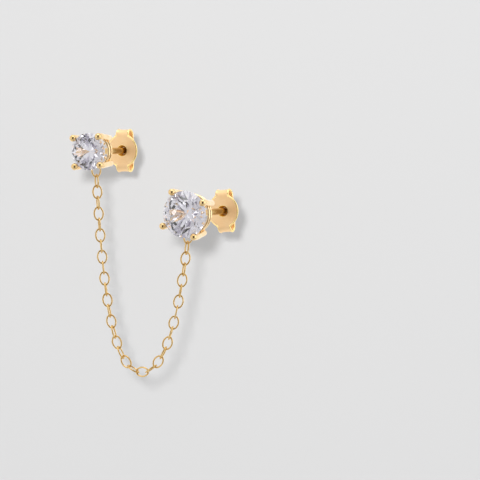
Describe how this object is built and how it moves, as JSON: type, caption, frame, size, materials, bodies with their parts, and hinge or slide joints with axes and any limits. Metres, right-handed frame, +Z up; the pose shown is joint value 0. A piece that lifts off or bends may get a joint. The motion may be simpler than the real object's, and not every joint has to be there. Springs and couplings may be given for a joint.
{
  "type": "ear chain earring",
  "caption": "Ear chain earring: a large and a small claw-set round stone on posts with butterfly backs, joined by a fine cable chain that hangs between the studs.",
  "frame": {"origin": "on the large stud's post, in the middle of its free stretch, where the ear lobe holds it", "axes": "+Y along the posts towards the ear backs, +Z up as it hangs when worn, +X from the small stud towards the large stud"},
  "size_m": [0.0164, 0.013, 0.0265],
  "materials": {
    "polished_gold": "polished yellow gold plating",
    "satin_gold": "satin turned yellow gold plating",
    "clear_stone": "polished faceted clear stone"
  },
  "bodies": {
    "earring": {"large_stone": "clear_stone", "small_stone": "clear_stone", "large_setting": "polished_gold", "small_setting": "polished_gold", "link_01": "polished_gold", "link_02": "polished_gold", "link_03": "polished_gold", "link_04": "polished_gold", "link_05": "polished_gold", "link_06": "polished_gold", "link_07": "polished_gold", "link_08": "polished_gold", "link_09": "polished_gold", "link_10": "polished_gold", "link_11": "polished_gold", "link_12": "polished_gold", "link_13": "polished_gold", "link_14": "polished_gold", "link_15": "polished_gold", "link_16": "polished_gold", "link_17": "polished_gold", "link_18": "polished_gold", "link_19": "polished_gold", "link_20": "polished_gold", "link_21": "polished_gold", "link_22": "polished_gold", "link_23": "polished_gold", "link_24": "polished_gold", "link_25": "polished_gold", "link_26": "polished_gold", "link_27": "polished_gold", "link_28": "polished_gold", "link_29": "polished_gold", "link_30": "polished_gold", "link_31": "polished_gold", "link_32": "polished_gold", "link_33": "polished_gold", "link_34": "polished_gold", "link_35": "polished_gold"},
    "large_back": {"large_back": "satin_gold"},
    "small_back": {"small_back": "satin_gold"}
  },
  "joints": [
    {"name": "large_back_slide", "type": "slide", "parent": "earring", "child": "large_back", "axis": [0, 1, 0], "range_m": [-0.0066, 0.006]},
    {"name": "small_back_slide", "type": "slide", "parent": "earring", "child": "small_back", "axis": [0, 1, 0], "range_m": [-0.0049, 0.006]}
  ]
}
